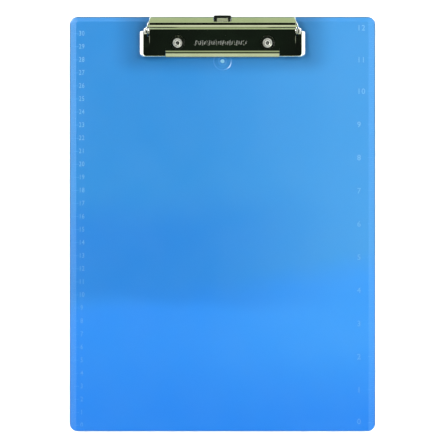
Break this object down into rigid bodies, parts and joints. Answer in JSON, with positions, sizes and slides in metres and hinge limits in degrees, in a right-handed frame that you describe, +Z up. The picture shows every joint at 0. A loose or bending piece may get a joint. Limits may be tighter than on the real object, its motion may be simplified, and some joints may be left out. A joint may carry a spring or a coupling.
{
  "type": "clipboard",
  "caption": "Letter-size clipboard: moulded plastic board with ruler edges, low-profile plated spring clip and a pull-out hanging tab.",
  "frame": {"origin": "middle of the outline, on the underside of the board; the outline includes the end of the hanging tab", "axes": "+X across the board to the inch-ruler edge, +Y along the board towards the clip, +Z up out of the writing face"},
  "size_m": [0.234, 0.3186, 0.016],
  "materials": {
    "board_plastic": "translucent, satin moulded",
    "plated_clamp": "bright nickel plate",
    "plated_base": "nickel plate",
    "eyelet_metal": "nickel plate",
    "spring_steel": "oiled spring wire"
  },
  "bodies": {
    "board_unit": {"board": "board_plastic", "base_plate": "plated_base", "rivets": "eyelet_metal", "hinge_rod": "eyelet_metal", "spring_left": "spring_steel", "spring_right": "spring_steel"},
    "clamp": {"clamp_plate": "plated_clamp"},
    "hanger": {"hanger_tab": "plated_base"}
  },
  "joints": [
    {"name": "clamp_hinge", "type": "hinge", "parent": "board_unit", "child": "clamp", "pos_m": [0, 0.14685, 0.0065], "axis": [-1, 0, 0], "range_deg": [0, 35], "stiffness_Nm_per_rad": 0.34, "springref_deg": -40.11, "deforming": ["spring_left", "spring_right"]},
    {"name": "hanger_slide", "type": "slide", "parent": "board_unit", "child": "hanger", "axis": [0, 1, 0], "range_m": [0, 0.012]}
  ]
}
